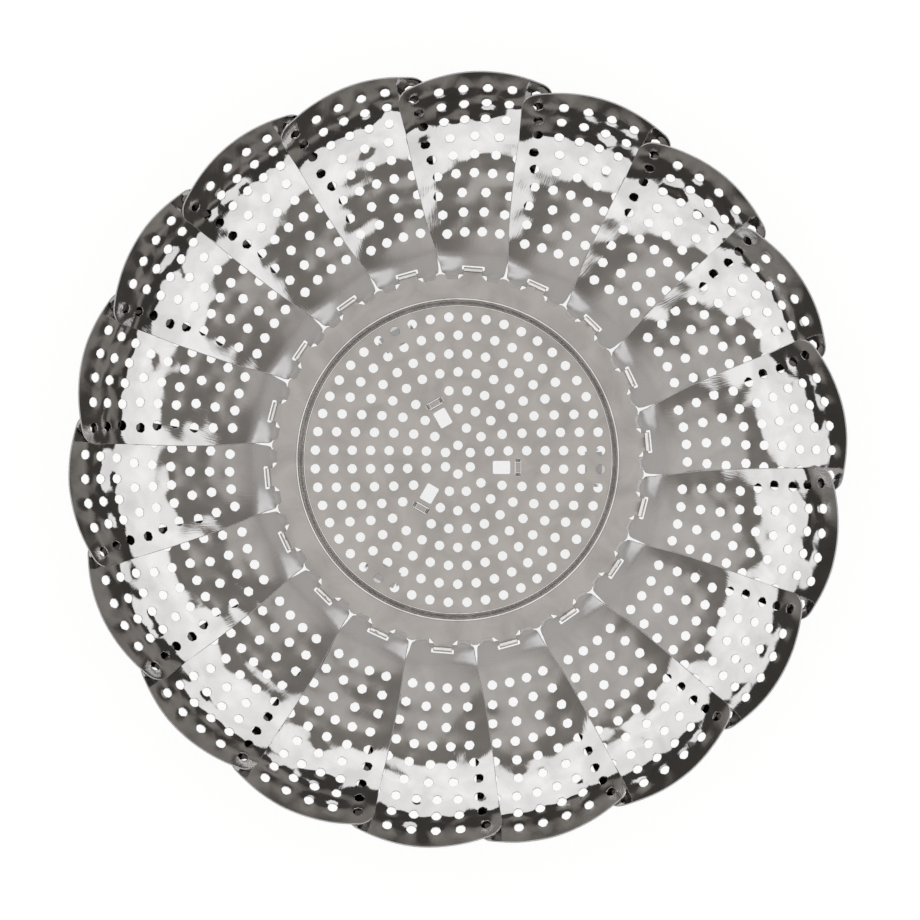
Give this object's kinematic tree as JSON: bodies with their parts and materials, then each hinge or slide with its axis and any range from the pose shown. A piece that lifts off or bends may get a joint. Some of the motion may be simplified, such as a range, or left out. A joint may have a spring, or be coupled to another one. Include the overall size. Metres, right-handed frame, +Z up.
{
  "type": "folding steamer basket",
  "caption": "Open folding steamer basket: perforated round plate on folding legs, with a ring of overlapping perforated petals hinged to its rim that swing up and in together",
  "frame": {"origin": "on the ground under the middle of the plate, at the centre of the open basket", "axes": "+Z up, along the basket's axis; +Y along the first petal; the other petals follow clockwise seen from above"},
  "size_m": [0.2428, 0.2444, 0.0627],
  "materials": {
    "sheet_steel": "polished stainless sheet, lightly brushed",
    "petal_steel": "polished stainless sheet, faintly rippled by the pressing",
    "leg_steel": "satin stainless strip"
  },
  "bodies": {
    "basket": {"base_plate": "sheet_steel", "leg_bracket_1": "leg_steel", "leg_bracket_2": "leg_steel", "leg_bracket_3": "leg_steel", "leg_pin_1": "leg_steel", "leg_pin_2": "leg_steel", "leg_pin_3": "leg_steel"},
    "petal_01": {"petal_01": "petal_steel"},
    "petal_02": {"petal_02": "petal_steel"},
    "petal_03": {"petal_03": "petal_steel"},
    "petal_04": {"petal_04": "petal_steel"},
    "petal_05": {"petal_05": "petal_steel"},
    "petal_06": {"petal_06": "petal_steel"},
    "petal_07": {"petal_07": "petal_steel"},
    "petal_08": {"petal_08": "petal_steel"},
    "petal_09": {"petal_09": "petal_steel"},
    "petal_10": {"petal_10": "petal_steel"},
    "petal_11": {"petal_11": "petal_steel"},
    "petal_12": {"petal_12": "petal_steel"},
    "petal_13": {"petal_13": "petal_steel"},
    "petal_14": {"petal_14": "petal_steel"},
    "petal_15": {"petal_15": "petal_steel"},
    "petal_16": {"petal_16": "petal_steel"},
    "petal_17": {"petal_17": "petal_steel"},
    "petal_18": {"petal_18": "petal_steel"},
    "leg_1": {"leg_1": "leg_steel"},
    "leg_2": {"leg_2": "leg_steel"},
    "leg_3": {"leg_3": "leg_steel"}
  },
  "joints": [
    {"name": "petal_01_hinge", "type": "hinge", "parent": "basket", "child": "petal_01", "pos_m": [0, 0.0602, 0.03476], "axis": [1, 0, 0], "range_deg": [0, 60]},
    {"name": "petal_02_hinge", "type": "hinge", "parent": "basket", "child": "petal_02", "pos_m": [0.02059, 0.05657, 0.03476], "axis": [0.9397, -0.342, 0], "range_deg": [0, 60]},
    {"name": "petal_03_hinge", "type": "hinge", "parent": "basket", "child": "petal_03", "pos_m": [0.0387, 0.04612, 0.03476], "axis": [0.766, -0.6428, 0], "range_deg": [0, 60]},
    {"name": "petal_04_hinge", "type": "hinge", "parent": "basket", "child": "petal_04", "pos_m": [0.05214, 0.0301, 0.03476], "axis": [0.5, -0.866, 0], "range_deg": [0, 60]},
    {"name": "petal_05_hinge", "type": "hinge", "parent": "basket", "child": "petal_05", "pos_m": [0.05928, 0.01045, 0.03476], "axis": [0.1736, -0.9848, 0], "range_deg": [0, 60]},
    {"name": "petal_06_hinge", "type": "hinge", "parent": "basket", "child": "petal_06", "pos_m": [0.05928, -0.01045, 0.03476], "axis": [-0.1736, -0.9848, 0], "range_deg": [0, 60]},
    {"name": "petal_07_hinge", "type": "hinge", "parent": "basket", "child": "petal_07", "pos_m": [0.05214, -0.0301, 0.03476], "axis": [-0.5, -0.866, 0], "range_deg": [0, 60]},
    {"name": "petal_08_hinge", "type": "hinge", "parent": "basket", "child": "petal_08", "pos_m": [0.0387, -0.04612, 0.03476], "axis": [-0.766, -0.6428, 0], "range_deg": [0, 60]},
    {"name": "petal_09_hinge", "type": "hinge", "parent": "basket", "child": "petal_09", "pos_m": [0.02059, -0.05657, 0.03476], "axis": [-0.9397, -0.342, 0], "range_deg": [0, 60]},
    {"name": "petal_10_hinge", "type": "hinge", "parent": "basket", "child": "petal_10", "pos_m": [0, -0.0602, 0.03476], "axis": [-1, 0, 0], "range_deg": [0, 60]},
    {"name": "petal_11_hinge", "type": "hinge", "parent": "basket", "child": "petal_11", "pos_m": [-0.02059, -0.05657, 0.03476], "axis": [-0.9397, 0.342, 0], "range_deg": [0, 60]},
    {"name": "petal_12_hinge", "type": "hinge", "parent": "basket", "child": "petal_12", "pos_m": [-0.0387, -0.04612, 0.03476], "axis": [-0.766, 0.6428, 0], "range_deg": [0, 60]},
    {"name": "petal_13_hinge", "type": "hinge", "parent": "basket", "child": "petal_13", "pos_m": [-0.05214, -0.0301, 0.03476], "axis": [-0.5, 0.866, 0], "range_deg": [0, 60]},
    {"name": "petal_14_hinge", "type": "hinge", "parent": "basket", "child": "petal_14", "pos_m": [-0.05928, -0.01045, 0.03476], "axis": [-0.1736, 0.9848, 0], "range_deg": [0, 60]},
    {"name": "petal_15_hinge", "type": "hinge", "parent": "basket", "child": "petal_15", "pos_m": [-0.05928, 0.01045, 0.03476], "axis": [0.1736, 0.9848, 0], "range_deg": [0, 60]},
    {"name": "petal_16_hinge", "type": "hinge", "parent": "basket", "child": "petal_16", "pos_m": [-0.05214, 0.0301, 0.03476], "axis": [0.5, 0.866, 0], "range_deg": [0, 60]},
    {"name": "petal_17_hinge", "type": "hinge", "parent": "basket", "child": "petal_17", "pos_m": [-0.0387, 0.04612, 0.03476], "axis": [0.766, 0.6428, 0], "range_deg": [0, 60]},
    {"name": "petal_18_hinge", "type": "hinge", "parent": "basket", "child": "petal_18", "pos_m": [-0.02059, 0.05657, 0.03476], "axis": [0.9397, 0.342, 0], "range_deg": [0, 60]},
    {"name": "leg_1_hinge", "type": "hinge", "parent": "basket", "child": "leg_1", "pos_m": [0.04366, 0.00096, 0.03], "axis": [-0.0785, 0.9969, 0], "range_deg": [0, 102]},
    {"name": "leg_2_hinge", "type": "hinge", "parent": "basket", "child": "leg_2", "pos_m": [-0.021, -0.03829, 0.03], "axis": [0.9026, -0.4305, 0], "range_deg": [0, 102]},
    {"name": "leg_3_hinge", "type": "hinge", "parent": "basket", "child": "leg_3", "pos_m": [-0.02266, 0.03733, 0.03], "axis": [-0.8241, -0.5664, 0], "range_deg": [0, 102]}
  ],
  "couplings": [
    {"joint": "petal_02_hinge", "follows": "petal_01_hinge", "ratio": 1},
    {"joint": "petal_03_hinge", "follows": "petal_01_hinge", "ratio": 1},
    {"joint": "petal_04_hinge", "follows": "petal_01_hinge", "ratio": 1},
    {"joint": "petal_05_hinge", "follows": "petal_01_hinge", "ratio": 1},
    {"joint": "petal_06_hinge", "follows": "petal_01_hinge", "ratio": 1},
    {"joint": "petal_07_hinge", "follows": "petal_01_hinge", "ratio": 1},
    {"joint": "petal_08_hinge", "follows": "petal_01_hinge", "ratio": 1},
    {"joint": "petal_09_hinge", "follows": "petal_01_hinge", "ratio": 1},
    {"joint": "petal_10_hinge", "follows": "petal_01_hinge", "ratio": 1},
    {"joint": "petal_11_hinge", "follows": "petal_01_hinge", "ratio": 1},
    {"joint": "petal_12_hinge", "follows": "petal_01_hinge", "ratio": 1},
    {"joint": "petal_13_hinge", "follows": "petal_01_hinge", "ratio": 1},
    {"joint": "petal_14_hinge", "follows": "petal_01_hinge", "ratio": 1},
    {"joint": "petal_15_hinge", "follows": "petal_01_hinge", "ratio": 1},
    {"joint": "petal_16_hinge", "follows": "petal_01_hinge", "ratio": 1},
    {"joint": "petal_17_hinge", "follows": "petal_01_hinge", "ratio": 1},
    {"joint": "petal_18_hinge", "follows": "petal_01_hinge", "ratio": 1}
  ]
}
